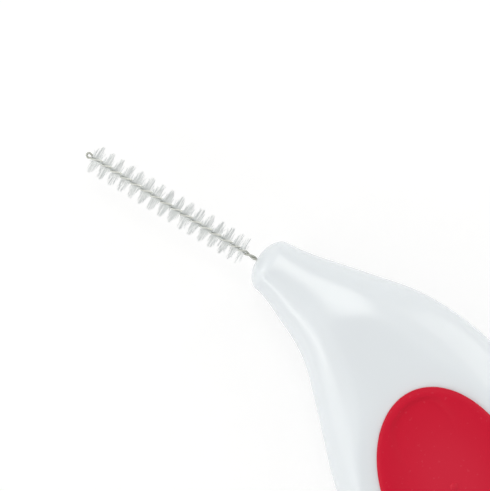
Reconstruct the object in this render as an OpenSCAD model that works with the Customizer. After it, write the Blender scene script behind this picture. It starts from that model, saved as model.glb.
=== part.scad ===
// Interdental brush: a bent leaf-shaped handle with soft oval grip pads,
// and a twisted wire brush that is moulded into the tip of its neck.
// The handle lies flat. The origin is the middle of the rear pad's flat land,
// +X runs along the handle towards the neck, and +Z is up, out of the thumb pad.

/* [Handle] */
// Width of the handle at its widest place
grip_w = 18.2; // [16.4:0.1:24]
// Thickness of the handle between its two flat faces
body_t = 6.6; // [5.4:0.1:9]
// Length of the centre line from the middle of the pads to the tip of the neck
reach = 24.64; // [20:0.01:32]
// Length from the middle of the pads to the end of the tail
tail_l = 24; // [17:0.5:60]
// How far behind the middle of the pads the handle is widest
widest_back = 2.7; // [1:0.1:5]
// Width of the rolled shoulder between each face and the edge
shoulder_w = 2.7; // [1.5:0.1:3.2]

/* [Neck] */
// Angle between the neck and the long axis of the handle
neck_angle = 34.6; // [0:0.1:50]
// Radius of the centre line where the handle bends into the neck
bend_r = 24; // [12:0.5:30]
// Distance from the middle of the pads to the start of the bend
bend_start = 5.2; // [2:0.1:7]
// Diameter of the neck just behind its dome
neck_d = 4.46; // [3.6:0.02:5.4]
// Length of the dome on the tip of the neck
dome_l = 1.4; // [0.8:0.05:2.2]
// Diameter of the small flat on the dome, where the wire comes out
dome_flat_d = 1; // [0.8:0.05:1.6]
// Length along X over which the faces slope down to the neck
neck_slope_l = 6.2; // [3:0.1:9]

/* [Grip pads] */
// Length of the oval pads
pad_l = 16.7; // [12:0.1:20]
// Width of the oval pads
pad_w = 11.3; // [8:0.1:12.4]
// Height of the pads above the faces of the handle
pad_proud = 0.35; // [0.2:0.05:0.8]
// Depth of the pocket under each pad
pocket_depth = 2; // [1:0.1:2.5]
// Radius of the rounded rim of the pads
rim_r = 0.3; // [0.15:0.05:0.4]
// Depth of the thumb dish in the front pad
dish_depth = 0.25; // [0.1:0.05:0.5]
// Diameter of the posts that join the two pads through the web of the handle
post_d = 2.4; // [1:0.1:3]
// Diameter of the small dots that the thumb feels
dot_d = 0.66; // [0.4:0.02:1]
// Height of the dots
dot_h = 0.12; // [0.06:0.01:0.2]
// Distance between the dots
dot_pitch = 1.7; // [1.2:0.1:2.4]

/* [Wire] */
// Diameter of the wire
wire_d = 0.17; // [0.12:0.01:0.25]
// Length of one full turn of the twisted wire
twist_pitch = 1.88; // [1.4:0.02:3]
// Length of twisted wire in front of the neck, with the loop at its tip
wire_out = 16; // [10:0.1:24]
// Length of twisted wire that the neck holds
wire_in = 7; // [4:0.1:9]
// Outer width of the loop at the tip
loop_w = 0.56; // [0.46:0.02:0.9]

/* [Bristles] */
// Diameter of the brush over its bristles
brush_d = 2.2; // [1.6:0.1:5]
// Thickness of one bristle
bristle_t = 0.05; // [0.04:0.005:0.08]
// Gap between neighbouring bristles, along the wire
bristle_gap = 0.022; // [0.016:0.002:0.06]
// Bare length between the outer end of the loop and the first bristle
tip_bare = 0.6; // [0.5:0.05:2]
// Bare length between the last bristle and the neck
root_bare = 1; // [0.4:0.1:3]

/* [Hidden] */
$fn = 32;

// What one cut runs past the face that it cuts
overrun = 0.5;
// Shrinkage gap round a post in its hole
post_gap = 0.02;
// Radial clearance of the wire in its bore
bore_clear = 0.03;
// Clearance of the bristles between the two legs of the wire, on each side
pinch_clear = 0.005;

// Handle, worked out from the sizes above
half_w = grip_w / 2;
half_t = body_t / 2;
neck_r = neck_d / 2;
mid_z = pad_proud + half_t;
neck_s = reach - dome_l;
// Half widths of the two edges at equal steps from the widest place to the dome,
// as shares of what the handle is wider than the neck
left_edge_share = [1, 0.982, 0.93, 0.862, 0.748, 0.578, 0.352, 0.162, -0.025];
right_edge_share = [1, 0.982, 0.93, 0.852, 0.69, 0.492, 0.258, 0.1, 0.025];
// How softly the sloping neck meets the flat face, and the shoulder the round neck
crest_blend = 0.2;
shoulder_blend = 0.5;
// How squarely the thickness ends at the tail: 2 is an ellipse
tail_power = 6;
body_rings = 30;
tail_rings = 10;
dome_rings = 6;
section_sides = 44;
tail_last_angle = 86;

function sq(a) = a * a;

// The smaller of two values, rounded over where they are within blend of each other
function soft_min(a, b, blend) = min(a, b) - sq(max(blend - abs(a - b), 0)) / (4 * blend);

// Centre line: straight, then an arc, then straight along the neck
function spine_turn(s) = min(max((s - bend_start) / bend_r * 180 / PI, 0), neck_angle);
bend_end_s = bend_start + bend_r * neck_angle * PI / 180;
function spine_xy(s) =
    let (turn = spine_turn(s), past = max(s - bend_end_s, 0))
    [min(s, bend_start) + bend_r * sin(turn) + past * cos(neck_angle),
     bend_r * (1 - cos(turn)) + past * sin(neck_angle)];

// Smooth curve through equally spaced values, flat at its first end
function at_step(list, i) = list[min(max(i, 0), len(list) - 1)];
function curve_through(list, along) =
    let (last = len(list) - 1,
         i = min(floor(along * last), last - 1),
         u = along * last - i,
         slope_a = i == 0 ? 0 : (at_step(list, i + 1) - at_step(list, i - 1)) / 2,
         slope_b = (at_step(list, i + 2) - list[i]) / 2)
    list[i] * (2 * u * u * u - 3 * u * u + 1) + slope_a * (u * u * u - 2 * u * u + u)
    + list[i + 1] * (3 * u * u - 2 * u * u * u) + slope_b * (u * u * u - u * u);

// Half width of one edge at a place on the centre line
function edge_w(s, shares) =
    let (along = (s + widest_back) / (neck_s + widest_back))
    neck_r + (half_w - neck_r) * curve_through(shares, min(max(along, 0), 1));

// Half height of the crest at X: flat on the body, sloping down along the neck
neck_x = spine_xy(neck_s)[0];
function crest_h(x) =
    soft_min(half_t, neck_r + (half_t - neck_r) * (neck_x - x) / neck_slope_l, crest_blend);

// Height share across a section: flat in the middle, a quarter ellipse at each shoulder
function roll_share(v, w) =
    let (roll = min(soft_min(w, shoulder_w, shoulder_blend), w), flat = w - roll)
    v <= flat ? 1 : sqrt(max(1 - sq((v - flat) / roll), 0));

// One closed section across the centre line at s, narrowed and thinned at the ends
function section(s, narrow, thin) =
    let (left = edge_w(s, left_edge_share) * narrow,
         right = edge_w(s, right_edge_share) * narrow,
         w = (left + right) / 2,
         turn = spine_turn(s),
         at = spine_xy(s))
    [for (j = [0:section_sides - 1])
        let (a = 360 * j / section_sides,
             y = w * cos(a),
             side = y + (left - right) / 2,
             x = at[0] - side * sin(turn),
             h = crest_h(x) * thin * roll_share(abs(y), w))
        [x, at[1] + side * cos(turn), mid_z + sign(round(sin(a) * 1000)) * h]];

tail_half_l = tail_l - widest_back;
dome_first_angle = asin(dome_flat_d / neck_d);
handle_sections = concat(
    [for (i = [tail_rings:-1:1])
        let (a = min(90 * i / tail_rings, tail_last_angle), out = sin(a))
        section(-widest_back - tail_half_l * out / sin(tail_last_angle), cos(a),
                sqrt(1 - pow(out, tail_power)))],
    [for (i = [0:body_rings]) section(-widest_back + (neck_s + widest_back) * i / body_rings, 1, 1)],
    [for (i = [1:dome_rings])
        let (a = 90 - (90 - dome_first_angle) * i / dome_rings)
        section(neck_s + dome_l * cos(a) / cos(dome_first_angle), sin(a), sin(a))]);

// Two triangles for a four-sided patch
function patch(a, b, c, d) = [[a, b, c], [a, c, d]];

// Triangles of a skin over closed rings with the same number of points, ends closed
function skin_faces(rings, sides) = concat(
    [[for (j = [0:sides - 1]) j]],
    [for (i = [0:rings - 2], j = [0:sides - 1])
        let (k = (j + 1) % sides)
        each patch(i * sides + j, (i + 1) * sides + j, (i + 1) * sides + k, i * sides + k)],
    [[for (j = [sides - 1:-1:0]) (rings - 1) * sides + j]]);

module skin(sections) {
    polyhedron([for (ring = sections) each ring], skin_faces(len(sections), len(sections[0])));
}

// Grip pads
pad_sides = 56;
rim_steps = 4;
dish_steps = 5;
web_t = body_t - 2 * pocket_depth;
// How far each post reaches into its pads
post_root = pocket_depth / 4;
// Places of the posts as shares of the pad's half length and half width
post_share = [[0.52, 0], [-0.52, 0], [0, 0.5], [0, -0.5]];
// The dish starts at the inner side of the rim, and ends in a small flat floor
rim_band = rim_r * 1.5;
floor_share = 0.12;

function oval(half_l, half_wide, z) =
    [for (j = [0:pad_sides - 1])
        let (a = 360 * j / pad_sides)
        [half_l * cos(a), half_wide * sin(a), z]];
function pad_ring(inset, z) = oval(pad_l / 2 - inset, pad_w / 2 - inset, z);
function rim_sections(face_z, out) =
    [for (i = [0:rim_steps])
        let (a = 90 * i / rim_steps)
        pad_ring(rim_r * (1 - cos(a)), face_z + out * (pad_proud - rim_r * (1 - sin(a))))];

front_z = mid_z + half_t;
rear_z = mid_z - half_t;
dish_floor_z = front_z + pad_proud - dish_depth;
front_pad_sections = concat(
    [pad_ring(0, front_z - pocket_depth)],
    rim_sections(front_z, 1),
    [for (i = [0:dish_steps])
        let (inward = i / dish_steps, wide = 1 - (1 - floor_share) * inward)
        oval((pad_l / 2 - rim_band) * wide, (pad_w / 2 - rim_band) * wide,
             dish_floor_z + dish_depth * pow(1 - inward, 3))]);
rear_rim = rim_sections(rear_z, -1);
rear_pad_sections = concat(
    [for (i = [rim_steps:-1:0]) rear_rim[i]],
    [pad_ring(0, rear_z + pocket_depth)]);

module at_posts() {
    for (at = post_share)
        translate([at[0] * pad_l / 2, at[1] * pad_w / 2, 0]) children();
}

module pad_pocket(from_z) {
    translate([0, 0, from_z])
        linear_extrude(pocket_depth + overrun)
            polygon([for (p = oval(pad_l / 2, pad_w / 2, 0)) [p[0], p[1]]]);
}

// Wire frame: its X runs out of the neck along the wire, its Z is the handle's Z
module along_wire() {
    tip = spine_xy(reach);
    translate([tip[0], tip[1], mid_z]) rotate([0, 0, spine_turn(reach)]) children();
}

// Twisted wire
wire_sides = 6;
steps_per_turn = 12;
loop_steps = 10;
// Half the distance between the centres of the two legs
leg_off = (wire_d + bristle_t) / 2 + pinch_clear;
loop_r = (loop_w - wire_d) / 2;
loop_x = wire_out - wire_d / 2 - loop_r;
// Length over which the two legs part into the loop
loop_open_l = 0.3;
open_x = loop_x - loop_open_l;
twist_rate = 360 / twist_pitch;
// Distance from the outer end of the loop to the first place where the bristles
// lie in the plane of the handle
first_lobe = 0.76;
open_turn = 90 - twist_rate * (open_x - (wire_out - first_lobe));
// Left-hand twist, which dies away where the legs part
function twist_at(x) =
    let (u = max(x - open_x, 0))
    x < open_x ? open_turn + twist_rate * (open_x - x)
               : open_turn - twist_rate * (u - u * u / (2 * loop_open_l));
function ease(u) = u * u * (3 - 2 * u);
function off_at(x) = leg_off + (loop_r - leg_off) * ease(min(max((x - open_x) / loop_open_l, 0), 1));
function round_x(turn) = [0, cos(turn), sin(turn)];

leg_steps = ceil((wire_in + loop_x) / twist_pitch * steps_per_turn);
function leg_x(i) = -wire_in + (wire_in + loop_x) * i / leg_steps;
function leg_at(x, side) = [x, 0, 0] + side * off_at(x) * round_x(twist_at(x));
wire_path = concat(
    [for (i = [0:leg_steps]) leg_at(leg_x(i), 1)],
    [for (i = [1:loop_steps - 1])
        let (a = 90 - 180 * i / loop_steps)
        [loop_x + loop_r * cos(a), 0, 0] + loop_r * sin(a) * round_x(twist_at(loop_x))],
    [for (i = [leg_steps:-1:0]) leg_at(leg_x(i), -1)]);
// Direction at each path point that points away from the other leg
wire_out_dir = concat(
    [for (i = [0:leg_steps]) round_x(twist_at(leg_x(i)))],
    [for (i = [1:loop_steps - 1])
        let (a = 90 - 180 * i / loop_steps)
        [cos(a), 0, 0] + sin(a) * round_x(twist_at(loop_x))],
    [for (i = [leg_steps:-1:0]) -round_x(twist_at(leg_x(i)))]);
function unit(v) = v / norm(v);
wire_sections =
    [for (i = [0:len(wire_path) - 1])
        let (ahead = at_step(wire_path, i + 1) - at_step(wire_path, i - 1),
             t = unit(ahead),
             n = unit(wire_out_dir[i] - (wire_out_dir[i] * t) * t),
             b = cross(t, n))
        [for (j = [0:wire_sides - 1])
            let (a = 360 * j / wire_sides)
            wire_path[i] + wire_d / 2 * (cos(a) * n + sin(a) * b)]];

// Bristles: each one runs through the twist, square to it, and has two free ends, so
// that together they form a screw with two flights. Where the wire pinches them, they
// are squeezed into one thin twisted band.
brush_l = wire_out - root_bare - tip_bare;
bristle_step = bristle_t + bristle_gap;
bristle_count = floor(brush_l / bristle_step + 0.5);
band_half_w = leg_off + wire_d / 4;
function bristle_x(k) = root_bare + bristle_step * (k + 0.5);
function band_dir(x) = round_x(twist_at(x) + 90);
function quad_at(x, turn_x, out) =
    let (t = band_dir(turn_x), n = round_x(twist_at(turn_x)))
    [[x, 0, 0] + out * t + bristle_t / 2 * n, [x, 0, 0] + out * t - bristle_t / 2 * n];
bristle_points = concat(
    [for (k = [0:bristle_count - 1], e = [-1, 1])
        let (x = bristle_x(k) + e * bristle_t / 2)
        each concat(quad_at(x, x, band_half_w), [for (i = [1, 0]) quad_at(x, x, -band_half_w)[i]])],
    [for (k = [0:bristle_count - 1], side = [1, -1], e = [-1, 1])
        each quad_at(bristle_x(k) + e * bristle_t / 2, bristle_x(k), side * brush_d / 2)]);
band_point_count = 8 * bristle_count;
// Corners of the band at each ring: 0 and 1 on one edge, 2 and 3 on the other
function band_i(ring, corner) = 4 * ring + corner;
function tip_i(k, side, e, n) = band_point_count + 8 * k + 4 * side + 2 * e + n;
// The four walls and the end of one free bristle, from its root corners to its tip corners
function free_end(root, tip) = concat(
    [for (i = [0:3]) let (j = (i + 1) % 4) each patch(root[i], root[j], tip[j], tip[i])],
    patch(tip[0], tip[1], tip[2], tip[3]));
bristle_faces = concat(
    patch(band_i(0, 0), band_i(0, 1), band_i(0, 2), band_i(0, 3)),
    [for (i = [0:2 * bristle_count - 2], c = [0:3])
        if (i % 2 == 1 || c % 2 == 1)
            let (d = (c + 1) % 4)
            each patch(band_i(i, c), band_i(i + 1, c), band_i(i + 1, d), band_i(i, d))],
    [for (k = [0:bristle_count - 1])
        let (a = 2 * k, b = 2 * k + 1)
        each concat(
            free_end([band_i(a, 0), band_i(b, 0), band_i(b, 1), band_i(a, 1)],
                     [tip_i(k, 0, 0, 0), tip_i(k, 0, 1, 0), tip_i(k, 0, 1, 1), tip_i(k, 0, 0, 1)]),
            free_end([band_i(a, 2), band_i(b, 2), band_i(b, 3), band_i(a, 3)],
                     [tip_i(k, 1, 0, 1), tip_i(k, 1, 1, 1), tip_i(k, 1, 1, 0), tip_i(k, 1, 0, 0)]))],
    let (last = 2 * bristle_count - 1)
    patch(band_i(last, 3), band_i(last, 2), band_i(last, 1), band_i(last, 0)));

// White moulded handle, with a pocket for each pad, holes through the web for
// the posts, and the blind bore that the wire is moulded into
module handle() {
    color("white") difference() {
        skin(handle_sections);
        pad_pocket(front_z - pocket_depth);
        mirror([0, 0, 1]) pad_pocket(-rear_z - pocket_depth);
        at_posts()
            translate([0, 0, rear_z])
                cylinder(d = post_d + 2 * post_gap, h = body_t);
        along_wire()
            translate([-wire_in, 0, 0]) rotate([0, 90, 0])
                cylinder(r = leg_off + wire_d / 2 + bore_clear, h = wire_in + overrun);
    }
}

// Red soft grip: the thumb pad and the finger pad, joined by posts through the web
module soft_grip() {
    color("crimson") union() {
        skin(front_pad_sections);
        skin(rear_pad_sections);
        at_posts()
            translate([0, 0, rear_z + pocket_depth - post_root])
                cylinder(d = post_d, h = web_t + 2 * post_root);
        thumb_dots();
    }
}

// Low round dots on the floor of the thumb dish, from its middle towards the tail
module thumb_dots() {
    dot_r = (sq(dot_d / 2) + sq(dot_h)) / (2 * dot_h);
    for (i = [0:2])
        translate([-i * dot_pitch, 0, dish_floor_z + dot_h - dot_r]) sphere(dot_r);
}

// One steel wire, folded at the tip loop and twisted, down to its two ends in the neck
module wire_stem() {
    color("silver") along_wire() skin(wire_sections);
}

module bristles() {
    color("gainsboro") along_wire() polyhedron(bristle_points, bristle_faces);
}

handle();
soft_grip();
wire_stem();
bristles();
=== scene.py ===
"""Looks of a bent interdental brush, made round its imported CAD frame.

Each operator makes one piece, or the stage. All lengths are in metres and all places
are in the frame: the origin is the middle of the rear pad's flat land, +X runs along
the handle towards the neck, and +Z is up, out of the thumb pad.
"""

import bpy
import numpy as np
from bpy.props import FloatProperty, FloatVectorProperty, IntProperty, PointerProperty
from mathutils import Matrix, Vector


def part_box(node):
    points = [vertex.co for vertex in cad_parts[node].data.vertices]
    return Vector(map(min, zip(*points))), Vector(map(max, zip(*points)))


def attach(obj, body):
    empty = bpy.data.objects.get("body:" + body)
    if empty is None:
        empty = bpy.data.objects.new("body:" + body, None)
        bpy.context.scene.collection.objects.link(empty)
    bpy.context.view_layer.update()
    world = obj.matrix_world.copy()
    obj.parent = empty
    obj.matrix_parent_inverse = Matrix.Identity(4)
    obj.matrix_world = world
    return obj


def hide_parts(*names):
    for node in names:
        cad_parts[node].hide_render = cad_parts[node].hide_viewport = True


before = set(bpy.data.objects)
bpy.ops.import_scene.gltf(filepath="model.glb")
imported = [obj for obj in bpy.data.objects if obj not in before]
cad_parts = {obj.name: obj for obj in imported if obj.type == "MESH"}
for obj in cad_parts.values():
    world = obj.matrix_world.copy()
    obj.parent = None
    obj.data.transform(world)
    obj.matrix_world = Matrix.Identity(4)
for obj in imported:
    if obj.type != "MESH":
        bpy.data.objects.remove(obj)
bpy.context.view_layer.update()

bl_info = {
    "name": "Interdental brush",
    "version": (1, 0, 0),
    "blender": (4, 5, 0),
    "location": "3D View > Sidebar > Brush",
    "description": "Makes a bent interdental brush with a moulded handle and a soft grip",
    "category": "Add Mesh",
}

# Boxes of the frame, which the main sizes come from
HANDLE_LOW, HANDLE_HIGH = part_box("handle")
GRIP_LOW, GRIP_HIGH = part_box("soft_grip")
MID_Z = (HANDLE_LOW.z + HANDLE_HIGH.z) / 2


def length(name, description, default):
    """A length in metres."""
    return FloatProperty(
        name=name, description=description, default=default, min=0, precision=5, unit="LENGTH"
    )


def share(name, description, default):
    """A value between 0 and 1."""
    return FloatProperty(
        name=name, description=description, default=default, min=0, max=1, subtype="FACTOR"
    )


def colour(name, description, default):
    """A colour, in linear light."""
    return FloatVectorProperty(
        name=name, description=description, default=default, size=3, min=0, max=1, subtype="COLOR"
    )


# Settings


class HandleSettings(bpy.types.PropertyGroup):
    """Sizes and finish of the moulded handle."""

    grip_w: length("Grip width", "Width at the widest place", HANDLE_HIGH.y - HANDLE_LOW.y)
    body_t: length("Thickness", "Between the two flat faces", HANDLE_HIGH.z - HANDLE_LOW.z)
    tail_l: length("Tail length", "From the middle of the pads to the tail", -HANDLE_LOW.x)
    reach: length("Reach", "Centre line from the pads to the tip of the neck", 0.02464)
    widest_back: length("Widest place", "How far behind the pads' middle it is", 0.0027)
    crown_t: length("Crown", "Thickness of the grip before its faces are cut flat", 0.0104)
    neck_angle: FloatProperty(
        name="Neck angle",
        description="Between the neck and the long axis of the handle",
        default=np.radians(34.6),
        subtype="ANGLE",
    )
    bend_r: length("Bend radius", "Of the centre line, at the neck", 0.024)
    bend_start: length("Bend start", "From the pads' middle to the bend", 0.0052)
    neck_d: length("Neck diameter", "Just behind the dome", 0.00446)
    dome_l: length("Dome length", "Of the rounded tip of the neck", 0.0014)
    dome_flat_d: length("Dome flat", "Diameter of the flat that the wire comes out of", 0.001)
    neck_slope_l: length("Neck slope", "Length over which the faces slope down", 0.0045)
    slope_turn: FloatProperty(
        name="Slope direction",
        description="Between the long axis of the handle and the way the faces slope down",
        default=np.radians(20),
        subtype="ANGLE",
    )
    parting_h: length("Parting line", "Height of the mould's parting line", 0.00002)
    plastic: colour("Plastic", "Colour of the white plastic", (0.77, 0.81, 0.845))
    gloss: share("Roughness", "Of the polished plastic", 0.22)


class GripSettings(bpy.types.PropertyGroup):
    """Sizes and finish of the soft grip."""

    pad_l: length("Pad length", "Of the oval pads", GRIP_HIGH.x - GRIP_LOW.x)
    pad_w: length("Pad width", "Of the oval pads", GRIP_HIGH.y - GRIP_LOW.y)
    proud: length("Proud", "Height of a pad above its face", GRIP_HIGH.z - HANDLE_HIGH.z)
    pocket_depth: length("Pocket depth", "Of the pocket under each pad", 0.002)
    rim_r: length("Rim radius", "Of the rounded rim", 0.0003)
    dish_depth: length("Dish depth", "Of the hollow for the thumb", 0.00025)
    dish_run: length("Dish slope", "Length over which the dish sinks", 0.003)
    step_run: length("Dish step", "The same at the neck end, where the lip is sharp", 0.0005)
    post_d: length("Post diameter", "Of the posts that join the pads", 0.0024)
    dot_d: length("Dot diameter", "Of the dots that the thumb feels", 0.00066)
    dot_h: length("Dot height", "Of the dots", 0.00012)
    dot_pitch: length("Dot pitch", "Distance between the dots", 0.0017)
    rubber: colour("Rubber", "Colour of the soft rubber", (0.56, 0.0055, 0.028))
    # Painted sheen: the middle is lighter and paler than the rubber round it
    painted_sheen: colour("Rubbed rubber", "Colour in the middle of the pads", (0.585, 0.015, 0.04))
    # Painted glints: faint specks lighter and paler than the rubber
    painted_glint: colour("Dust", "Colour of the faint specks", (0.70, 0.13, 0.17))
    matt: share("Roughness", "Of the matt rubber", 0.5)


class WireSettings(bpy.types.PropertyGroup):
    """Sizes and finish of the twisted wire."""

    wire_d: length("Wire diameter", "Of the single wire", 0.00017)
    twist_pitch: length("Twist pitch", "Length of one full turn", 0.00188)
    wire_out: length("Free length", "From the neck to the end of the loop", 0.01608)
    wire_in: length("Held length", "Inside the neck", 0.007)
    loop_w: length("Loop width", "Outside, at the tip", 0.00056)
    loop_open_l: length("Loop opening", "Length over which the legs part", 0.00025)
    first_lobe: length("First lobe", "From the tip to where the bristles lie flat", 0.00095)
    bow: length("Bow", "How far the free wire bends sideways at its tip", 0.00008)
    # Lit and shaded copies of one steel: painted light among the bristles, painted shade where
    # bare
    steel: colour("Steel", "Colour of the wire among the bristles", (0.97, 0.98, 0.94))
    painted_shade: colour("Dulled steel", "Colour of the bare wire", (0.50, 0.51, 0.47))
    # Painted shade on the outer side among the bristles, against painted light in the crevice
    outer_shade: share("Worn", "How dull the outer side is among the bristles", 0.58)
    drawn: share("Roughness", "Of the drawn wire", 0.48)


class BristleSettings(bpy.types.PropertyGroup):
    """Sizes and finish of the nylon bristles."""

    brush_d: length("Brush diameter", "Over the bristles", 0.0024)
    bristle_t: length("Bristle thickness", "Of one filament", 0.00005)
    tip_bare: length("Bare tip", "From the end of the loop to the first bristle", 0.00047)
    root_bare: length("Bare root", "From the last bristle to the neck", 0.0011)
    thin_l: length("Thinning", "Length before the neck where the bristles get sparse", 0.0014)
    count: IntProperty(
        name="Bristles", description="Filaments, with two free ends each", default=365, min=10
    )
    seed: IntProperty(name="Seed", description="Of the small random changes", default=7)
    nylon: colour("Nylon", "Colour of the filaments", (0.935, 0.96, 0.962))


class StageSettings(bpy.types.PropertyGroup):
    """Light, floor and camera."""

    view_side: length("View side", "Longer side of the picture, at the handle", 0.03928)
    view_distance: length("Camera distance", "Above the middle of the handle", 0.8)
    tent: FloatProperty(name="Tent", description="Light from all round", default=0.735, min=0)
    floor: colour("Floor", "Colour of the floor", (0.9, 0.9, 0.9))
    glow: share("Glow", "Share of the floor's white that no shadow reaches", 0.72)
    shade: share("Shade", "Share of the floor's white that shadows darken", 0.36)


class BrushSettings(bpy.types.PropertyGroup):
    """All that the operators read."""

    handle: PointerProperty(type=HandleSettings)
    grip: PointerProperty(type=GripSettings)
    wire: PointerProperty(type=WireSettings)
    bristles: PointerProperty(type=BristleSettings)
    stage: PointerProperty(type=StageSettings)


# Half widths of the handle's two edges at equal steps from the widest place to the dome,
# as shares of what the handle is wider than the neck
LEFT_EDGE = np.array([1, 0.982, 0.93, 0.862, 0.748, 0.578, 0.352, 0.162, -0.025])
RIGHT_EDGE = np.array([1, 0.982, 0.93, 0.852, 0.69, 0.492, 0.258, 0.1, 0.025])
# Half heights of the crown at the same steps, as shares of what it is higher than the neck
CROWN = np.array([1, 0.834, 0.682, 0.534, 0.413, 0.367, 0.328, 0.129, 0])
# How squarely the crown falls to each edge at the same steps: 2 is an ellipse
LEFT_ROUND = np.array([3.5, 3.6, 3.6, 3.4, 2.95, 2.63, 2.45, 2.5, 2.6])
RIGHT_ROUND = np.array([3.5, 3.04, 2.65, 2.4, 2.36, 2.5, 2.62, 2.7, 2.6])
# How softly the crown meets the faces, and the flat faces meet the slopes
CROWN_BLEND = 0.0002
CREASE_BLEND = 0.00006
# How wide the parting line is, and how much closer the points lie beside it
PARTING_W = 0.00006
SEAM_CLUSTER = 0.85
# Points round the handle, the angles of its rings over the tail, and how many rings lie
# along its body and over its dome
HANDLE_SIDES = 192
TAIL_ANGLES = np.radians(np.append(np.linspace(89.6, 80, 8), np.linspace(78.5, 1.5, 52)))
BODY_STEPS = 126
DOME_STEPS = 25
# Clearance of the wire in its bore, and the rings of the bore's mouth: how much wider
# than the bore they are, and how deep they lie
BORE_CLEAR = 0.00001
BORE_MOUTH = ((0.00004, 0), (0.00001, 0.00002), (0, 0.0001))
# Places of the posts as shares of the pad's half length and half width, their clearance,
# and how deep they and their holes end, as shares of the pocket's depth
POST_PLACES = ((0.52, 0), (-0.52, 0), (0, 0.5), (0, -0.5))
POST_CLEAR = 0.00002
POST_DEPTH = 0.75
HOLE_DEPTH = 0.5
# Points round a pad, a post and a dot
PAD_SIDES = 224
POST_SIDES = 48
DOT_SIDES = 64
# How many dots there are, the rings of each, and the latitude where these start and end
DOT_COUNT = 3
DOT_STEPS = 41
DOT_TURN = np.radians(87)
# Rings over a pad's rim and down its dish, and how much closer they lie beside the lip
RIM_STEPS = 13
DISH_STEPS = 60
DISH_CLUSTER = 1.5
# How much wider than high the thumb pad's rolled rim is, and how wide its lip is in rim radii
RIM_ROLL = 1.8
RIM_BAND = 2.0
# The dish ends in a small flat floor, with a few rings of its own
FLOOR_SHARE = 0.12
FLOOR_RINGS = np.array([0.75, 0.5, 0.25])
# Where the lip is sharp, as turns from the long axis: its middle, and where it starts and ends
LIP_TURN = np.radians(8)
LIP_FADE = np.radians((15, 48))
# Points round the wire, its rings in one turn of the twist, and its rings round the loop
WIRE_SIDES = 14
TURN_STEPS = 30
LOOP_STEPS = 24
# Clearance of the bristles between the two legs of the wire, on each side, and of the
# two legs where no bristle is between them
PINCH_CLEAR = 0.000005
LEG_CLEAR = 0.000002
# Length over which the legs close up beside the last bristle
CLOSE_L = 0.0003
# Near the neck the twist is tighter: where that starts, over which length, and by how much
TIGHT_FROM = 0.00235
TIGHT_RAMP = 0.0003
TIGHTER = 0.385
# Length over which the wire's painted shade changes beside the bristles, and how closely
# the painted shade among them keeps to the outer side, away from the other leg
SHADE_STEP = 0.0004
SHADE_POWER = 1.5
# Points round a filament, and its rings from one free end to the other
BRISTLE_SIDES = 5
STATIONS = np.array([-1, -0.8, -0.55, -0.3, -0.12, 0.12, 0.3, 0.55, 0.8, 1])
# How dense the last bristles before the neck are, as a share of the rest, and how finely
# the density is summed up along the wire
THINNEST = 0.6
PLACE_STEPS = 2000
# Random changes of the filaments: swing round the axis, slant along it, and bow
SWING = np.radians(2.4)
SLANT = 0.06
BRISTLE_BOW = 0.000025
# Lengths of their free ends as shares: the mean, the spread, the shortest and the longest
REACH_MEAN, REACH_SPREAD, REACH_LOW, REACH_HIGH = 0.99, 0.012, 0.93, 1.01


# Shapes


def soft_min(a, b, blend):
    """The smaller of a and b, less (blend - |a - b|)^2 / 4 blend where they are that close."""
    return np.minimum(a, b) - np.maximum(blend - np.abs(a - b), 0) ** 2 / (4 * blend)


def curve_through(values, along):
    """Cubic pieces through equally spaced values, from along = 0 to 1.

    The slope at each value is half the step between its neighbours, and 0 at the first.
    """
    last = len(values) - 1
    ahead = np.append(values[1:], values[-1])
    slope = np.append(0, (ahead[1:] - values[:-1]) / 2)
    i = np.minimum((along * last).astype(int), last - 1)
    u = along * last - i
    return (
        values[i] * (2 * u**3 - 3 * u**2 + 1)
        + slope[i] * (u**3 - 2 * u**2 + u)
        + values[i + 1] * (3 * u**2 - 2 * u**3)
        + slope[i + 1] * (u**3 - u**2)
    )


def centre_line(s, handle):
    """Place and turn of the handle's centre line: straight, an arc, then straight again.

    The turn is (s - bend start) / bend radius, kept between 0 and the neck's angle. The
    place is the first straight, plus the radius times (sin turn, 1 - cos turn), plus what
    lies past the arc, along the neck.
    """
    turn = np.clip((s - handle.bend_start) / handle.bend_r, 0, handle.neck_angle)
    past = np.maximum(s - handle.bend_start - handle.bend_r * handle.neck_angle, 0)
    before = np.minimum(s, handle.bend_start)
    x = before + handle.bend_r * np.sin(turn) + past * np.cos(handle.neck_angle)
    y = handle.bend_r * (1 - np.cos(turn)) + past * np.sin(handle.neck_angle)
    return x, y, turn


def around(sides, cluster=0.0):
    """Angles once round, closer together near 0 and half a turn: t - cluster / 2 sin 2t."""
    t = 2 * np.pi * np.arange(sides) / sides
    return t - cluster / 2 * np.sin(2 * t)


def slope_place(x, y, handle):
    """How far a point lies along the way that the faces slope down."""
    return x * np.cos(handle.slope_turn) - y * np.sin(handle.slope_turn)


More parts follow.
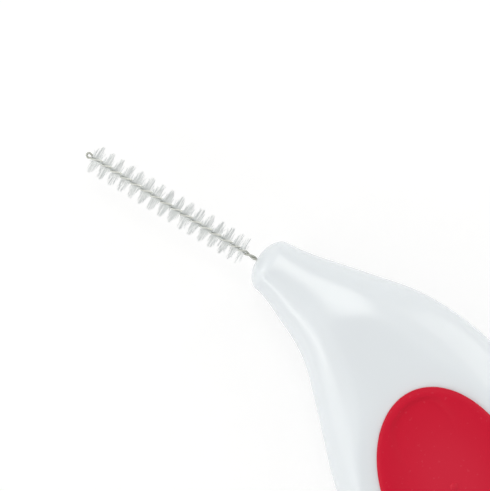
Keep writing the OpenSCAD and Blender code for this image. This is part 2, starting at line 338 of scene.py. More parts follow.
def handle_rings(handle):
    """Rings of points across the centre line, from the tail to the dome.

    Across a ring, y = w cos a, and the crown's height is c sqrt(1 - |cos a|^p). The faces
    cut it off: flat on the body, then one plane that slopes down to the neck. Width and
    crown go as cos t at the tail, and width and height go as sin t over the dome. The
    parting line adds its height times e^-(z / w)^2 to the edges.
    """
    half_w, half_t, neck_r = handle.grip_w / 2, handle.body_t / 2, handle.neck_d / 2
    neck_s = handle.reach - handle.dome_l
    body = np.linspace(0, 1, BODY_STEPS)
    first = np.arcsin(handle.dome_flat_d / handle.neck_d)
    dome = np.linspace(np.pi / 2, first, DOME_STEPS)[1:]
    ends = handle.tail_l - handle.widest_back
    s = np.concatenate([
        -handle.widest_back - ends * np.sin(TAIL_ANGLES),
        -handle.widest_back + (neck_s + handle.widest_back) * body,
        neck_s + handle.dome_l * np.cos(dome) / np.cos(first),
    ])[:, None]
    to_tail = np.concatenate([np.cos(TAIL_ANGLES), np.ones(body.size + dome.size)])[:, None]
    to_tip = np.concatenate([np.ones(TAIL_ANGLES.size + body.size), np.sin(dome)])[:, None]

    a = around(HANDLE_SIDES, SEAM_CLUSTER)[None, :]
    along = np.clip((s + handle.widest_back) / (neck_s + handle.widest_back), 0, 1)
    narrow = to_tail * to_tip
    left = (neck_r + (half_w - neck_r) * curve_through(LEFT_EDGE, along)) * narrow
    right = (neck_r + (half_w - neck_r) * curve_through(RIGHT_EDGE, along)) * narrow
    side = (left + right) / 2 * np.cos(a) + (left - right) / 2
    x0, y0, turn = centre_line(s, handle)
    neck_x, neck_y, _ = centre_line(neck_s, handle)
    before = slope_place(neck_x, neck_y, handle) - slope_place(
        x0 - side * np.sin(turn), y0 + side * np.cos(turn), handle
    )
    slope = neck_r + (half_t - neck_r) * before / handle.neck_slope_l
    face = soft_min(half_t, slope, CREASE_BLEND)
    crest = neck_r + (handle.crown_t / 2 - neck_r) * curve_through(CROWN, along)
    power = np.where(
        np.cos(a) > 0, curve_through(LEFT_ROUND, along), curve_through(RIGHT_ROUND, along)
    )
    crown = crest * to_tail * np.sqrt(1 - np.abs(np.cos(a)) ** power)
    height = soft_min(face, crown, CROWN_BLEND) * to_tip
    ridge = handle.parting_h * narrow * np.exp(-((height / PARTING_W) ** 2))
    side = side + ridge * np.sign(np.cos(a))
    return np.stack([
        x0 - side * np.sin(turn),
        y0 + side * np.cos(turn),
        MID_Z + np.sign(np.round(np.sin(a), 9)) * height,
    ], -1)


def neck_frame(handle):
    """Matrix whose X runs out of the neck along the wire, from the middle of its tip."""
    x, y, turn = (float(v) for v in centre_line(np.float64(handle.reach), handle))
    return Matrix.Translation((x, y, MID_Z)) @ Matrix.Rotation(turn, 4, "Z")


def placed(points, matrix):
    """Points moved by a matrix."""
    m = np.array(matrix)
    return points @ m[:3, :3].T + m[:3, 3]


def bowed(points, wire):
    """Points of the wire or the bristles, moved sideways by bow (x / free length)^2."""
    out = np.maximum(points[..., 0], 0) / wire.wire_out
    return points - (wire.bow * out**2)[..., None] * np.array([0, 1, 0])


def leg_offset(x, wire, bristles):
    """Half the distance between the middles of the two legs, at places along the wire.

    The bristles are between them, and the legs close up as u^2 (3 - 2u) at the neck.
    """
    closed = wire.wire_d / 2 + LEG_CLEAR
    pinched = (wire.wire_d + bristles.bristle_t) / 2 + PINCH_CLEAR
    u = np.clip((x - bristles.root_bare) / CLOSE_L + 1, 0, 1)
    return closed + (pinched - closed) * u**2 * (3 - 2 * u)


def bore_rings(handle, wire, bristles):
    """The bore that the wire is moulded into, as rings from its mouth to its blind end."""
    bore_r = leg_offset(0, wire, bristles) + wire.wire_d / 2 + BORE_CLEAR
    wider, depth = np.array([*BORE_MOUTH, (0, wire.wire_in)]).T[:, :, None]
    radius = bore_r + wider
    a = around(HANDLE_SIDES, SEAM_CLUSTER)[None, :]
    rings = np.stack(np.broadcast_arrays(-depth, radius * np.cos(a), radius * np.sin(a)), -1)
    return placed(rings, neck_frame(handle))


def oval_rings(half_l, half_w, z, sides=PAD_SIDES):
    """Level ovals: one ring (half_l cos a, half_w sin a) at each height z."""
    a = around(sides)[None, :]
    parts = np.broadcast_arrays(
        half_l[:, None] * np.cos(a), half_w[:, None] * np.sin(a), z[:, None]
    )
    return np.stack(parts, -1)


def rim_profile(grip):
    """Inset and drop of the rounded rim, a quarter circle from the wall to the top."""
    a = np.radians(np.linspace(0, 90, RIM_STEPS))
    return grip.rim_r * (1 - np.cos(a)), grip.rim_r * (1 - np.sin(a))


def front_pad(grip):
    """Thumb pad: pocket floor, wall, rolled rim, lip and dish.

    The dish sinks as t^2 (3 - 2t), where t is the distance from the lip over the length
    of the slope. That length is short at the neck end and long elsewhere.
    """
    inset, drop = rim_profile(grip)
    inset = inset * RIM_ROLL
    top = HANDLE_HIGH.z + grip.proud
    wide = 1 - (1 - FLOOR_SHARE) * np.linspace(0, 1, DISH_STEPS) ** DISH_CLUSTER
    wide = np.append(wide, FLOOR_SHARE * FLOOR_RINGS)
    band = RIM_BAND * grip.rim_r
    half_l, half_w = grip.pad_l / 2, grip.pad_w / 2
    rings = oval_rings(
        np.concatenate([[half_l], half_l - inset, (half_l - band) * wide]),
        np.concatenate([[half_w], half_w - inset, (half_w - band) * wide]),
        np.concatenate([
            [HANDLE_HIGH.z - grip.pocket_depth], top - drop, np.full(wide.size, top)
        ]),
    )
    a = around(rings.shape[1]) - LIP_TURN
    full, none = np.cos(LIP_FADE)
    sharp = np.clip((np.cos(a) - none) / (full - none), 0, 1)
    run = grip.dish_run + (grip.step_run - grip.dish_run) * sharp**2 * (3 - 2 * sharp)
    t = np.clip((half_l - band) * (1 - wide)[:, None] / run, 0, 1)
    rings[-wide.size:, :, 2] -= grip.dish_depth * t**2 * (3 - 2 * t)
    return rings


def rear_pad(grip):
    """Finger pad: a flat land at z = 0, its rim and wall, up to the pocket floor."""
    inset, drop = rim_profile(grip)
    half_l, half_w = grip.pad_l / 2, grip.pad_w / 2
    return oval_rings(
        np.append(half_l - inset[::-1], half_l),
        np.append(half_w - inset[::-1], half_w),
        np.append(drop[::-1], HANDLE_LOW.z + grip.pocket_depth),
    )


def post_rings(grip, radius, depth):
    """The four posts, or their holes, as round bars that end at a depth below each face."""
    half = np.full(2, radius)
    ends = np.array([HANDLE_LOW.z + depth, HANDLE_HIGH.z - depth])
    ring = oval_rings(half, half, ends, POST_SIDES)
    return [ring + (x * grip.pad_l / 2, y * grip.pad_w / 2, 0) for x, y in POST_PLACES]


def dot_rings(x, grip, z):
    """A low round dot: a ball that stands out of the dish by the dot's height."""
    ball_r = ((grip.dot_d / 2) ** 2 + grip.dot_h**2) / (2 * grip.dot_h)
    a = np.linspace(-DOT_TURN, DOT_TURN, DOT_STEPS)
    ring = oval_rings(ball_r * np.cos(a), ball_r * np.cos(a), ball_r * np.sin(a), DOT_SIDES)
    return ring + (x, 0, z + grip.dot_h - ball_r)


def twist_at(x, wire):
    """Turn of the two legs about the wire's axis.

    It is even, gets tighter near the neck, and dies away where the loop opens.
    """
    rate = 2 * np.pi / wire.twist_pitch
    short = TIGHT_FROM - x
    tight = np.where(
        short < TIGHT_RAMP, np.maximum(short, 0) ** 2 / (2 * TIGHT_RAMP), short - TIGHT_RAMP / 2
    )
    open_x = wire.wire_out - wire.wire_d / 2 - (wire.loop_w - wire.wire_d) / 2 - wire.loop_open_l
    at_open = np.pi / 2 - rate * (open_x - (wire.wire_out - wire.first_lobe))
    past = np.clip(x - open_x, 0, wire.loop_open_l)
    return at_open + rate * (
        np.maximum(open_x - x, 0) - past + past**2 / (2 * wire.loop_open_l) + TIGHTER * tight
    )


def across_axis(turn):
    """Unit vectors square to the wire's axis."""
    return np.stack([np.zeros_like(turn), np.cos(turn), np.sin(turn)], -1)


def wire_path(wire, bristles):
    """The wire's middle, and the direction away from the other leg, at each of its points.

    Each leg is a helix round the axis: (x, r cos turn, r sin turn). The distance r grows to
    the loop's radius as u^2 (3 - 2u) where the legs part, and a half circle joins them.
    """
    loop_r = (wire.loop_w - wire.wire_d) / 2
    loop_x = wire.wire_out - wire.wire_d / 2 - loop_r
    steps = int(np.ceil((wire.wire_in + loop_x) / wire.twist_pitch * TURN_STEPS))
    x = np.linspace(-wire.wire_in, loop_x, steps)
    u = np.clip((x - loop_x + wire.loop_open_l) / wire.loop_open_l, 0, 1)
    near = leg_offset(x, wire, bristles)
    off = near + (loop_r - near) * u**2 * (3 - 2 * u)
    away = across_axis(twist_at(x, wire))
    leg = off[:, None] * away
    leg[:, 0] = x
    a = np.radians(np.linspace(90, -90, LOOP_STEPS + 2)[1:-1])[:, None]
    loop_away = np.cos(a) * [1, 0, 0] + np.sin(a) * away[-1]
    loop = [loop_x, 0, 0] + loop_r * loop_away
    back = leg[::-1] * [1, -1, -1]
    return np.concatenate([leg, loop, back]), np.concatenate([away, loop_away, -away[::-1]])


def painted_shade_share(x, a, wire, bristles):
    """How much painted shade the wire gets at a place along it, and at an angle round it.

    It is 1 where the wire is bare and painted darker. Among the bristles it is the outer
    side's share times ((1 + cos a) / 2)^1.5, where a = 0 is the side away from the other leg,
    with an even step between the two: painted shade on the outer side, and painted light in
    the crevice beside the other leg, where the bristles shade it.
    """
    inside = np.minimum(x - bristles.root_bare, wire.wire_out - bristles.tip_bare - x)
    among = np.clip(inside / SHADE_STEP, 0, 1)
    return 1 - among * (1 - wire.outer_shade * ((1 + np.cos(a)) / 2) ** SHADE_POWER)


def tube_rings(path, away, radius, sides):
    """Rings round a path: path + radius (cos a n + sin a b).

    n is the given direction, made square to the path, and b is path direction x n.
    """
    ahead = np.gradient(path, axis=-2)
    ahead /= np.linalg.norm(ahead, axis=-1, keepdims=True)
    n = away - (away * ahead).sum(-1, keepdims=True) * ahead
    n /= np.linalg.norm(n, axis=-1, keepdims=True)
    b = np.cross(ahead, n)
    a = around(sides)[:, None]
    offset = np.cos(a) * n[..., None, :] + np.sin(a) * b[..., None, :]
    return path[..., None, :] + radius * offset


def filament_paths(wire, bristles):
    """Middles of the filaments, each through the twist from one free end to the other.

    Their places along the wire are even, and get sparse towards the neck. Each runs square
    to the axis and to the legs, apart from a small random swing, slant, length and bow,
    which goes as t^2 from the wire, t = 0, to the free ends, t = -1 and 1. The direction
    beside each, the distances |t| and a random tone are given too.
    """
    random = np.random.default_rng(bristles.seed)
    count = bristles.count
    x = np.linspace(bristles.root_bare, wire.wire_out - bristles.tip_bare, PLACE_STEPS)
    near_root = np.clip((x - bristles.root_bare) / bristles.thin_l, 0, 1)
    filled = np.cumsum(THINNEST + (1 - THINNEST) * near_root)
    place = np.interp((np.arange(count) + 0.5) / count, filled / filled[-1], x)
    swing = random.normal(0, SWING, count)
    slant = random.normal(0, SLANT, count)
    longer = np.clip(random.normal(REACH_MEAN, REACH_SPREAD, (count, 2)), REACH_LOW, REACH_HIGH)
    bow = random.normal(0, BRISTLE_BOW, (count, 2, 2))

    t = STATIONS
    turn = twist_at(place, wire) + np.pi / 2
    out = across_axis(turn + swing)
    beside = across_axis(turn + np.pi / 2)
    half = (t > 0).astype(int)
    radial = bristles.brush_d / 2 * longer[:, half] * t
    path = radial[..., None] * out[:, None, :]
    path = path + (t**2 * bow[:, half, 0])[..., None] * beside[:, None, :]
    path[..., 0] += place[:, None] + radial * slant[:, None] + t**2 * bow[:, half, 1]
    return path, beside, np.abs(t), random.random(count)


# Meshes


def closed_skin(rings):
    """Points and faces of a skin over rings, an array (rings, sides, 3).

    Neighbouring rings are joined by four-sided faces, and each end is closed by a fan of
    triangles round the mean of its ring.
    """
    count, sides = rings.shape[:2]
    j = np.arange(sides)
    k = (j + 1) % sides
    i = np.arange(count - 1)[:, None] * sides
    walls = np.stack([i + j, i + k, i + sides + k, i + sides + j], -1).reshape(-1, 4)
    first, last = count * sides, count * sides + 1
    end = (count - 1) * sides
    caps = [
        np.stack([k, j, np.full(sides, first)], -1),
        np.stack([end + j, end + k, np.full(sides, last)], -1),
    ]
    points = np.concatenate([rings.reshape(-1, 3), rings[:1].mean(1), rings[-1:].mean(1)])
    return points, walls.tolist() + np.concatenate(caps).tolist()


def filament_skin(rings):
    """Points and faces of many short tubes at once, rings (filaments, rings, sides, 3).

    Each end is one flat face.
    """
    count, stations, sides = rings.shape[:3]
    j = np.arange(sides)
    k = (j + 1) % sides
    one = np.arange(stations - 1)[:, None] * sides
    walls = np.stack([one + j, one + k, one + sides + k, one + sides + j], -1).reshape(-1, 4)
    start = np.arange(count)[:, None, None] * stations * sides
    ends = np.stack([j[::-1], (stations - 1) * sides + j])
    faces = (start + walls).reshape(-1, 4).tolist() + (start + ends).reshape(-1, sides).tolist()
    return rings.reshape(-1, 3), faces


def floor_skin(sides=96):
    """A flat round floor at z = 0, as rings of faces round one middle point."""
    a = around(sides)
    rings = FLOOR_R[:, None, None] * np.stack([np.cos(a), np.sin(a), np.zeros(sides)], -1)
    j = np.arange(sides)
    k = (j + 1) % sides
    i = np.arange(len(FLOOR_R) - 1)[:, None] * sides
    bands = np.stack([i + j, i + sides + j, i + sides + k, i + k], -1).reshape(-1, 4)
    disc = np.stack([j, k, np.full(sides, len(FLOOR_R) * sides)], -1)
    points = np.concatenate([rings.reshape(-1, 3), [[0, 0, 0]]])
    return points, bands.tolist() + disc.tolist()


def mesh_of(name, *skins):
    """One mesh from several skins."""
    points = np.concatenate([skin[0] for skin in skins])
    starts = np.cumsum([0] + [len(skin[0]) for skin in skins])
    faces = [
        [start + i for i in face] for start, skin in zip(starts, skins) for face in skin[1]
    ]
    mesh = bpy.data.meshes.new(name)
    mesh.from_pydata(points.tolist(), [], faces)
    if mesh.validate():
        raise ValueError(f"{name} has faces that can't be used")
    return mesh


def new_object(name, data):
    """An object with its mesh, lamp or camera, linked to the scene."""
    made = bpy.data.objects.new(name, data)
    bpy.context.scene.collection.objects.link(made)
    return made


def with_tool(mesh, operation, tool_mesh):
    """The mesh after an exact Boolean with a tool, which isn't kept."""
    body = new_object("worked", mesh)
    tool = new_object("tool", tool_mesh)
    step = body.modifiers.new(operation.title(), "BOOLEAN")
    step.operation = operation
    step.solver = "EXACT"
    step.object = tool
    graph = bpy.context.evaluated_depsgraph_get()
    made = bpy.data.meshes.new_from_object(body.evaluated_get(graph))
    if not made.polygons:
        raise ValueError(f"nothing is left of {mesh.name}")
    bpy.data.objects.remove(body)
    bpy.data.objects.remove(tool)
    bpy.data.meshes.remove(mesh)
    bpy.data.meshes.remove(tool_mesh)
    return made


def add_piece(name, mesh, material, node, sharp_angle=30):
    """Puts a finished mesh into the scene in place of its CAD node."""
    mesh.name = name
    mesh.shade_smooth()
    mesh.set_sharp_from_angle(angle=np.radians(sharp_angle))
    mesh.materials.clear()
    mesh.materials.append(material)
    piece = new_object(name, mesh)
    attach(piece, "root")
    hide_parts(node)


def add_attribute(mesh, name, values):
    """Keeps a value, or a vector, for each point of the mesh."""
    kind, field = ("FLOAT", "value") if values.ndim == 1 else ("FLOAT_VECTOR", "vector")
    attribute = mesh.attributes.new(name, kind, "POINT")
    attribute.data.foreach_set(field, values.astype(np.float32).ravel())


# Materials


def add_node(tree, kind, inputs=None, **settings):
    """A shader node with its settings, and its inputs linked or set."""
    made = tree.nodes.new(kind)
    for name, value in settings.items():
        setattr(made, name, value)
    for name, value in (inputs or {}).items():
        if isinstance(value, bpy.types.NodeSocket):
            tree.links.new(value, made.inputs[name])
        else:
            made.inputs[name].default_value = value
    return made


def new_group(name, inputs, outputs):
    """An empty node group with its sockets, and its input and output nodes."""
    tree = bpy.data.node_groups.new(name, "ShaderNodeTree")
    for label, kind, default in inputs:
        socket = tree.interface.new_socket(label, in_out="INPUT", socket_type=kind)
        if default is not None:
            socket.default_value = default
    for label, kind in outputs:
        tree.interface.new_socket(label, in_out="OUTPUT", socket_type=kind)
    return tree, tree.nodes.new("NodeGroupInput").outputs, tree.nodes.new("NodeGroupOutput").inputs


def noise_between(tree, vector, size, detail, roughness, low, high):
    """Noise of a given size: its value, stretched to run from low to high, and its height."""
    scale = add_node(tree, "ShaderNodeMath", {0: 1.0, 1: size}, operation="DIVIDE")
    noise = add_node(
        tree,
        "ShaderNodeTexNoise",
        {"Vector": vector, "Scale": scale.outputs[0], "Detail": detail, "Roughness": roughness},
    )
    height = noise.outputs["Fac"]
    value = add_node(
        tree,
        "ShaderNodeMapRange",
        {"Value": height, "From Min": 0.3, "From Max": 0.7, "To Min": low, "To Max": high},
    )
    return value.outputs["Result"], height


def mixed_colour(tree, factor, first, second):
    """A mix of two colours: the first where the factor is 0, the second where it is 1."""
    inputs = {0: factor, 6: first, 7: second}
    return add_node(tree, "ShaderNodeMix", inputs, data_type="RGBA").outputs[2]


def surface_grain():
    """Group: noise of a given grain size, as a value between two limits and as a height."""
    name = "Surface grain"
    if name in bpy.data.node_groups:
        return bpy.data.node_groups[name]
    tree, given, put = new_group(
        name,
        [
            ("Vector", "NodeSocketVector", None),
            ("Grain Size", "NodeSocketFloat", 0.0001),
            ("Low", "NodeSocketFloat", 0.0),
            ("High", "NodeSocketFloat", 1.0),
        ],
        [("Value", "NodeSocketFloat"), ("Height", "NodeSocketFloat")],
    )
    value, height = noise_between(
        tree, given["Vector"], given["Grain Size"], 2.0, 0.55, given["Low"], given["High"]
    )
    tree.links.new(value, put["Value"])
    tree.links.new(height, put["Height"])
    return tree


def tone_drift():
    """Group: a colour that drifts slowly towards a second one over the piece."""
    name = "Tone drift"
    if name in bpy.data.node_groups:
        return bpy.data.node_groups[name]
    tree, given, put = new_group(
        name,
        [
            ("Vector", "NodeSocketVector", None),
            ("Color", "NodeSocketColor", None),
            ("Drift Color", "NodeSocketColor", None),
            ("Patch Size", "NodeSocketFloat", 0.004),
            ("Amount", "NodeSocketFloat", 0.5),
        ],
        [("Color", "NodeSocketColor")],
    )
    value, _ = noise_between(
        tree, given["Vector"], given["Patch Size"], 3.0, 0.5, 0.0, given["Amount"]
    )
    drift = mixed_colour(tree, value, given["Color"], given["Drift Color"])
    tree.links.new(drift, put["Color"])
    return tree


def new_material(name, **constants):
    """A material with one Principled shader, whose plain values are set on its sockets."""
    material = bpy.data.materials.new(name)
    material.use_nodes = True
    tree = material.node_tree
    shader = tree.nodes["Principled BSDF"]
    for label, value in constants.items():
        shader.inputs[label.replace("_", " ")].default_value = value
    return material, tree, shader


def object_place(tree):
    """The point in the frame, in metres."""
    return add_node(tree, "ShaderNodeTexCoord").outputs["Object"]


def grained(tree, place, size, low=0.0, high=1.0):
    """One surface grain node of a given size: its value, from low to high, and its height."""
    inputs = {"Vector": place, "Grain Size": size, "Low": low, "High": high}
    made = add_node(tree, "ShaderNodeGroup", inputs, node_tree=surface_grain()).outputs
    return made["Value"], made["Height"]


def drifted(tree, place, main, factor, size, amount):
    """One tone drift node, towards the same colour made darker or lighter: its colour."""
    inputs = {
        "Vector": place,
        "Color": (*main, 1),
        "Drift Color": tinted(main, factor),
        "Patch Size": size,
        "Amount": amount,
    }
    return add_node(tree, "ShaderNodeGroup", inputs, node_tree=tone_drift()).outputs["Color"]


def bumped(tree, height, distance):
    """A normal from a height, whose full range is the given distance."""
    inputs = {"Height": height, "Distance": distance, "Strength": 1.0}
    return add_node(tree, "ShaderNodeBump", inputs).outputs["Normal"]


def tinted(rgb, factor):
    """A colour made lighter or darker, with its alpha."""
    return (*(min(1, c * factor) for c in rgb), 1)


def finish(tree, shader, base, rough, normal=None):
    """Links what changes over the surface to the shader."""
    tree.links.new(base, shader.inputs["Base Color"])
    tree.links.new(rough, shader.inputs["Roughness"])
    if normal is not None:
        tree.links.new(normal, shader.inputs["Normal"])


def white_plastic(handle):
    """Polished white plastic: a slow drift of tone, and a very fine orange peel."""
    material, tree, shader = new_material(
        "White plastic",
        Subsurface_Weight=0.15,
        Subsurface_Radius=(1.0, 1.0, 1.1),
        Subsurface_Scale=0.0006,
        IOR=1.5,
    )
    place = object_place(tree)
    base = drifted(tree, place, handle.plastic, factor=0.985, size=0.006, amount=0.6)
    rough, _ = grained(tree, place, 0.0011, handle.gloss - 0.015, handle.gloss + 0.02)
    _, peel = grained(tree, place, 0.0005)
    finish(tree, shader, base, rough, bumped(tree, peel, distance=0.0000015))
    return material


def red_rubber(grip):
    """Matt soft rubber: a spark-eroded grain, a painted sheen in the middle, and painted glints.

    The middle is where sqrt((x / half length)^2 + (y / half width)^2) is small.
    """
    material, tree, shader = new_material("Red rubber", IOR=1.48, Specular_IOR_Level=0.16)
    place = object_place(tree)
    shares = {0: place, 1: (2 / grip.pad_l, 2 / grip.pad_w, 0)}
    oval = add_node(tree, "ShaderNodeVectorMath", shares, operation="MULTIPLY")
    outward = add_node(tree, "ShaderNodeVectorMath", {0: oval.outputs[0]}, operation="LENGTH")
    middle = add_node(
        tree,
        "ShaderNodeMapRange",
        {"Value": outward.outputs["Value"], "From Min": 0.95, "From Max": 0.15},
        interpolation_type="SMOOTHSTEP",
    )
    edge = drifted(tree, place, grip.rubber, factor=1.05, size=0.0012, amount=0.5)
    # Painted sheen: the middle of each pad is mixed towards the lighter, paler colour
    painted_sheen = mixed_colour(tree, middle.outputs["Result"], edge, (*grip.painted_sheen, 1))
    # Painted glints: faint lighter specks
    glints, _ = grained(tree, place, 0.00034, -3.3, 0.13)
    base = mixed_colour(tree, glints, painted_sheen, (*grip.painted_glint, 1))
    rough, _ = grained(tree, place, 0.0003, grip.matt - 0.05, grip.matt + 0.06)
    _, pitted = grained(tree, place, 0.00009)
    finish(tree, shader, base, rough, bumped(tree, pitted, distance=0.000006))
    return material


def drawn_steel(wire):
    """Drawn stainless wire: fine scratches along it, and painted light and shade: lighter among
    the bristles to cancel their shade, darker where the wire is bare and on its outer side.

    The point attribute 'drawn' gives the place along and round it, and the other one how much
    painted shade it gets.
    """
    material, tree, shader = new_material("Drawn steel", Metallic=1.0)
    along = add_node(tree, "ShaderNodeAttribute", attribute_name="drawn").outputs["Vector"]
    painted_shade = add_node(tree, "ShaderNodeAttribute", attribute_name="painted_shade").outputs["Fac"]
    # The lighter steel is painted light among the bristles; the darker one is painted shade
    bright = drifted(tree, along, wire.steel, factor=0.72, size=0.45, amount=0.8)
    dull = drifted(tree, along, wire.painted_shade, factor=0.72, size=0.45, amount=0.8)
    base = mixed_colour(tree, painted_shade, bright, dull)
    rough, scratch = grained(tree, along, 0.3, wire.drawn - 0.06, wire.drawn + 0.08)
    finish(tree, shader, base, rough, bumped(tree, scratch, distance=0.000002))
    return material


def clear_nylon(bristles):
    """Milky nylon: a random tone of its own for each filament, and painted light and shade:
    lighter near the wire, where the filaments shade each other, darker at the free ends.
    """
    material, tree, shader = new_material(
        "Clear nylon", IOR=1.53, Transmission_Weight=0.1, Roughness=0.4
    )
    place = object_place(tree)
    tone = add_node(tree, "ShaderNodeAttribute", attribute_name="tone").outputs["Fac"]
    drift = drifted(tree, place, bristles.nylon, factor=0.93, size=0.0004, amount=0.5)
    # The tone attribute is half random tone, half painted shade towards the free ends
    base = mixed_colour(tree, tone, drift, tinted(bristles.nylon, 0.895))
    rough, _ = grained(tree, place, 0.00008, 0.32, 0.46)
    finish(tree, shader, base, rough)
    return material


def background_rays(tree):
    """1 for the rays that see the background: camera, glossy and transmission rays."""
    path = add_node(tree, "ShaderNodeLightPath").outputs
    seen = path["Is Camera Ray"]
    for name in ("Is Glossy Ray", "Is Transmission Ray"):
        inputs = {0: seen, 1: path[name]}
        seen = add_node(tree, "ShaderNodeMath", inputs, operation="MAXIMUM").outputs[0]
    return seen


def floor_paint(stage):
    """Pale matt floor, which glows for the rays that see it, so that it ends up white."""
    material = bpy.data.materials.new("Floor paint")
    material.use_nodes = True
    tree = material.node_tree
    tree.nodes.clear()
    rough, _ = grained(tree, object_place(tree), 0.002, 0.75, 0.85)
    matt, shaded = (
        add_node(tree, "ShaderNodeBsdfDiffuse", {"Color": (*rgb, 1), "Roughness": rough})
        for rgb in (stage.floor, [stage.shade] * 3)
    )
    glow = add_node(tree, "ShaderNodeEmission", {"Color": (1, 1, 1, 1), "Strength": stage.glow})
    seen = add_node(tree, "ShaderNodeAddShader", {0: shaded.outputs[0], 1: glow.outputs[0]})
    inputs = {0: background_rays(tree), 1: matt.outputs[0], 2: seen.outputs[0]}
    mixed = add_node(tree, "ShaderNodeMixShader", inputs)
    add_node(tree, "ShaderNodeOutputMaterial", {"Surface": mixed.outputs[0]})
    return material


# Stage

# Where the right side of the picture points, for a camera that looks straight down, and
# what the middle of the picture shows
VIEW_RIGHT = np.array([-0.404, -0.915])
VIEW_MIDDLE = (0.02432, 0.00747)
# Cosines of the half angles of the dark opening over the camera, where it starts to fade
# and where it is dark, and how bright it is there
OPENING = np.cos(np.radians((22, 10)))
OPENING_DARK = 0.25
# Soft boxes: name, azimuth and elevation in degrees, width, height and power. All face
# the handle from the same distance, and are a little warmer than the tent
LAMPS = (
    ("Top box", -21.4, 62.7, 0.20, 0.16, 0.40),
    ("Left box", 81.5, 24.4, 0.27, 0.40, 0.39),
    ("Neck box", 105, 28.3, 0.28, 0.15, 0.40),
    ("Right box", -71.5, 23.7, 0.21, 0.47, 0.67),
    ("Low box", -135, 4, 0.42, 0.20, 0.28),
    ("Tip box", 40, 22, 0.24, 0.24, 0.40),
)
LAMP_DISTANCE = 0.6
LAMP_COLOUR = (1.0, 0.985, 0.92)
# Radii of the floor's rings
FLOOR_R = np.array([0.02, 0.2, 3.0])


def light_tent(stage):
    """World: even white light from all round, with the dark opening for the camera.

    The rays that see the background see plain white, apart from the opening.
    """
    world = bpy.data.worlds.new("Light tent")
    bpy.context.scene.world = world
    world.use_nodes = True
    tree = world.node_tree
    tree.nodes.clear()
    ahead = add_node(tree, "ShaderNodeTexCoord").outputs["Generated"]
    up = add_node(tree, "ShaderNodeSeparateXYZ", {0: ahead}).outputs["Z"]
    fade, dark = OPENING.tolist()
    opening = add_node(
        tree,
        "ShaderNodeMapRange",
        {"Value": up, "From Min": fade, "From Max": dark, "To Min": 1.0, "To Max": OPENING_DARK},
        interpolation_type="SMOOTHSTEP",
    ).outputs["Result"]
    seen = {0: background_rays(tree), 2: stage.tent, 3: 1.0}
    level = add_node(tree, "ShaderNodeMix", seen, data_type="FLOAT").outputs[0]
    shaded = add_node(tree, "ShaderNodeMath", {0: level, 1: opening}, operation="MULTIPLY")
    camera = add_node(tree, "ShaderNodeLightPath").outputs["Is Camera Ray"]
    seen = {0: camera, 2: shaded.outputs[0], 3: 1.0}
    strength = add_node(tree, "ShaderNodeMix", seen, data_type="FLOAT").outputs[0]
    inputs = {"Color": (1, 1, 1, 1), "Strength": strength}
    light = add_node(tree, "ShaderNodeBackground", inputs)
    add_node(tree, "ShaderNodeOutputWorld", {"Surface": light.outputs[0]})


def soft_box(name, azimuth, elevation, width, height, power):
    """A rectangular lamp that faces the handle, from an azimuth in the XY plane."""
    data = bpy.data.lights.new(name, "AREA")
    data.shape = "RECTANGLE"
    data.size, data.size_y = width, height
    data.energy = power
    data.color = LAMP_COLOUR
    a, e = np.radians(azimuth), np.radians(elevation)
    out = np.array([np.cos(a) * np.cos(e), np.sin(a) * np.cos(e), np.sin(e)])
    side = np.array([-np.sin(a), np.cos(a), 0])
    place = (*VIEW_MIDDLE, MID_Z) + out * LAMP_DISTANCE
    columns = np.stack([side, np.cross(out, side), out, place], 1)
    lamp = new_object(name, data)
    lamp.matrix_world = Matrix((*columns.tolist(), (0, 0, 0, 1)))
    lamp.visible_camera = False


def top_camera(stage):
    """A long lens straight above the picture's middle."""
    data = bpy.data.cameras.new("Camera")
    data.sensor_width = 36
    data.lens = data.sensor_width * stage.view_distance / stage.view_side
    data.clip_start, data.clip_end = 0.01, 10
    camera = new_object("Camera", data)
    x, y = VIEW_RIGHT / np.linalg.norm(VIEW_RIGHT)
    turned = Matrix(((x, -y, 0, 0), (y, x, 0, 0), (0, 0, 1, 0), (0, 0, 0, 1)))
    place = Matrix.Translation((*VIEW_MIDDLE, MID_Z + stage.view_distance))
    camera.matrix_world = place @ turned
    bpy.context.scene.camera = camera


# Operators


class MakeHandle(bpy.types.Operator):
    """Moulded handle with its pockets, post holes and bore"""

    bl_idname = "interdental.make_handle"
    bl_label = "Handle"

    def execute(self, context):
        settings = context.scene.interdental_brush
        handle, grip = settings.handle, settings.grip
        rings = np.concatenate([
            handle_rings(handle), bore_rings(handle, settings.wire, settings.bristles)
        ])
        body = mesh_of("handle_body", closed_skin(rings))
        half_l, half_w = np.full(2, grip.pad_l / 2), np.full(2, grip.pad_w / 2)
        ends = np.array([-grip.pocket_depth, grip.pocket_depth])
        faces = (HANDLE_HIGH.z, HANDLE_LOW.z)
        pockets = [oval_rings(half_l, half_w, face + ends) for face in faces]
        hole_r = grip.post_d / 2 + POST_CLEAR
        holes = post_rings(grip, hole_r, grip.pocket_depth * HOLE_DEPTH)
        body = with_tool(body, "DIFFERENCE", mesh_of("pockets", *map(closed_skin, pockets)))
        body = with_tool(body, "DIFFERENCE", mesh_of("holes", *map(closed_skin, holes)))
        add_piece("handle_moulding", body, white_plastic(handle), "handle")
        return {"FINISHED"}


class MakeGrip(bpy.types.Operator):
    """Soft thumb and finger pads, with the posts between them and the thumb dots"""

    bl_idname = "interdental.make_grip"
    bl_label = "Soft grip"

    def execute(self, context):
        grip = context.scene.interdental_brush.grip
        floor_z = HANDLE_HIGH.z + grip.proud - grip.dish_depth
        posts = post_rings(grip, grip.post_d / 2, grip.pocket_depth * POST_DEPTH)
        dots = [dot_rings(-i * grip.dot_pitch, grip, floor_z) for i in range(DOT_COUNT)]
        pads = mesh_of("pads", closed_skin(front_pad(grip)), closed_skin(rear_pad(grip)))
        added = mesh_of("posts_and_dots", *map(closed_skin, posts + dots))
        body = with_tool(pads, "UNION", added)
        add_piece("soft_grip_pads", body, red_rubber(grip), "soft_grip", 28)
        return {"FINISHED"}


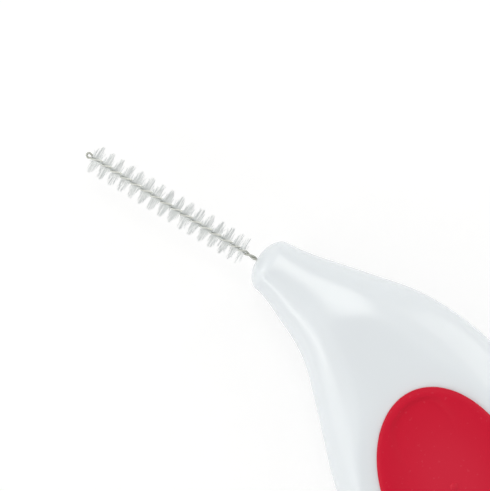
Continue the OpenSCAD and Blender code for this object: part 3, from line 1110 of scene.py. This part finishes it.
class MakeWire(bpy.types.Operator):
    """One steel wire, folded at the tip loop and twisted"""

    bl_idname = "interdental.make_wire"
    bl_label = "Twisted wire"

    def execute(self, context):
        settings = context.scene.interdental_brush
        wire = settings.wire
        path, away = wire_path(wire, settings.bristles)
        rings = tube_rings(path, away, wire.wire_d / 2, WIRE_SIDES)
        rings = placed(bowed(rings, wire), neck_frame(settings.handle))
        mesh = mesh_of("wire", closed_skin(rings))
        step = np.linalg.norm(np.diff(path, axis=0), axis=1)
        along = np.append(0, np.cumsum(step))[:, None] / wire.twist_pitch
        a = around(WIRE_SIDES)[None, :]
        drawn = np.stack(np.broadcast_arrays(along, np.cos(a), np.sin(a)), -1).reshape(-1, 3)
        ends = np.array([[along[0, 0], 0, 0], [along[-1, 0], 0, 0]])
        add_attribute(mesh, "drawn", np.concatenate([drawn, ends]))
        # Painted shade: 1 on the bare wire, less among the bristles, least in the crevice
        painted_shade = painted_shade_share(path[:, :1], a, wire, settings.bristles)
        add_attribute(mesh, "painted_shade", np.append(painted_shade.ravel(), [1, 1]))
        add_piece("twisted_wire", mesh, drawn_steel(wire), "wire_stem", 60)
        return {"FINISHED"}


class MakeBristles(bpy.types.Operator):
    """Nylon filaments, pinched between the two legs of the wire"""

    bl_idname = "interdental.make_bristles"
    bl_label = "Bristles"

    def execute(self, context):
        settings = context.scene.interdental_brush
        wire, bristles = settings.wire, settings.bristles
        path, beside, out, tone = filament_paths(wire, bristles)
        away = np.broadcast_to(beside[:, None, :], path.shape)
        rings = tube_rings(path, away, bristles.bristle_t / 2, BRISTLE_SIDES)
        rings = placed(bowed(rings, wire), neck_frame(settings.handle))
        mesh = mesh_of("filaments", filament_skin(rings))
        # Half a random tone for each filament, half painted shade growing to the free ends
        values = (tone[:, None] + out[None, :]) / 2
        add_attribute(mesh, "tone", np.repeat(values.ravel(), BRISTLE_SIDES))
        add_piece("nylon_filaments", mesh, clear_nylon(bristles), "bristles", 75)
        return {"FINISHED"}


class MakeStage(bpy.types.Operator):
    """White floor, light tent, soft boxes and the camera"""

    bl_idname = "interdental.make_stage"
    bl_label = "Stage"

    def execute(self, context):
        stage = context.scene.interdental_brush.stage
        context.scene.view_settings.view_transform = "Standard"
        mesh = mesh_of("floor", floor_skin())
        mesh.materials.append(floor_paint(stage))
        floor = new_object("floor", mesh)
        light_tent(stage)
        for lamp in LAMPS:
            soft_box(*lamp)
        top_camera(stage)
        return {"FINISHED"}


class BrushPanel(bpy.types.Panel):
    """Lists the operators and their settings"""

    bl_idname = "VIEW3D_PT_interdental_brush"
    bl_label = "Interdental brush"
    bl_space_type = "VIEW_3D"
    bl_region_type = "UI"
    bl_category = "Brush"

    def draw(self, context):
        settings = context.scene.interdental_brush
        for operator, group in zip(OPERATORS, GROUPS):
            box = self.layout.box()
            box.operator(operator.bl_idname)
            held = getattr(settings, group)
            for name in held.__annotations__:
                box.prop(held, name)


OPERATORS = (MakeHandle, MakeGrip, MakeWire, MakeBristles, MakeStage)
GROUPS = ("handle", "grip", "wire", "bristles", "stage")
SETTINGS = (HandleSettings, GripSettings, WireSettings, BristleSettings, StageSettings)
CLASSES = (*SETTINGS, BrushSettings, *OPERATORS, BrushPanel)


def register():
    for kind in CLASSES:
        bpy.utils.register_class(kind)
    bpy.types.Scene.interdental_brush = PointerProperty(type=BrushSettings)


def unregister():
    del bpy.types.Scene.interdental_brush
    for kind in reversed(CLASSES):
        bpy.utils.unregister_class(kind)


def main():
    """Makes everything."""
    register()
    bpy.ops.interdental.make_stage()
    bpy.ops.interdental.make_handle()
    bpy.ops.interdental.make_grip()
    bpy.ops.interdental.make_wire()
    bpy.ops.interdental.make_bristles()
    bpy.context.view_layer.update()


if __name__ == "__main__":
    main()
